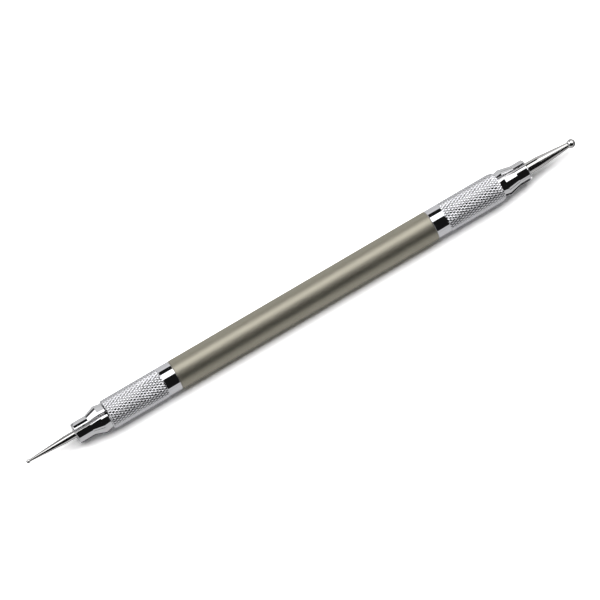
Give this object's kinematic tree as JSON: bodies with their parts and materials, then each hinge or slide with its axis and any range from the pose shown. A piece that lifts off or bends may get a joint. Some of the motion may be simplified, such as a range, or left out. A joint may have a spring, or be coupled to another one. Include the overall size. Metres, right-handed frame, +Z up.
{
  "type": "embossing stylus",
  "caption": "Double-ended embossing stylus: satin barrel, knurled chrome grip sleeves, slotted draw-in collets and exchangeable steel ball tips, one small and one large.",
  "frame": {"origin": "on the tool's axis, at the middle of the barrel tube", "axes": "+X along the axis towards the large ball, +Z up as the tool lies on its side"},
  "size_m": [0.1551, 0.0076, 0.0076],
  "materials": {
    "barrel_satin": "satin, warm grey anodised",
    "insert_brass": "turned",
    "sleeve_chrome": "polished band, bright knurl",
    "collet_chrome": "polished",
    "tip_steel": "polished, fine turning marks",
    "ball_steel": "mirror polished"
  },
  "bodies": {
    "barrel": {"barrel_tube": "barrel_satin", "small_end_insert": "insert_brass", "large_end_insert": "insert_brass"},
    "small_sleeve": {"small_end_sleeve": "sleeve_chrome"},
    "small_collet": {"small_end_collet": "collet_chrome"},
    "small_stylus": {"small_shank": "tip_steel", "small_ball": "ball_steel"},
    "large_sleeve": {"large_end_sleeve": "sleeve_chrome"},
    "large_collet": {"large_end_collet": "collet_chrome"},
    "large_stylus": {"large_shank": "tip_steel", "large_ball": "ball_steel"}
  },
  "joints": [
    {"name": "small_sleeve_turn", "type": "hinge", "parent": "barrel", "child": "small_sleeve", "pos_m": [-0.0362, 0, 0], "axis": [-1, 0, 0], "range_deg": [0, 3600]},
    {"name": "small_collet_feed", "type": "slide", "parent": "small_sleeve", "child": "small_collet", "axis": [-1, 0, 0], "range_m": [0, 0.007]},
    {"name": "small_stylus_pull", "type": "slide", "parent": "small_collet", "child": "small_stylus", "axis": [-1, 0, 0], "range_m": [0, 0.019]},
    {"name": "large_sleeve_turn", "type": "hinge", "parent": "barrel", "child": "large_sleeve", "pos_m": [0.0362, 0, 0], "axis": [1, 0, 0], "range_deg": [0, 3600]},
    {"name": "large_collet_feed", "type": "slide", "parent": "large_sleeve", "child": "large_collet", "axis": [1, 0, 0], "range_m": [0, 0.007]},
    {"name": "large_stylus_pull", "type": "slide", "parent": "large_collet", "child": "large_stylus", "axis": [1, 0, 0], "range_m": [0, 0.0185]}
  ],
  "couplings": [
    {"joint": "small_sleeve_turn", "follows": "small_collet_feed", "rad_per_m": 8976},
    {"joint": "large_sleeve_turn", "follows": "large_collet_feed", "rad_per_m": 8976}
  ]
}
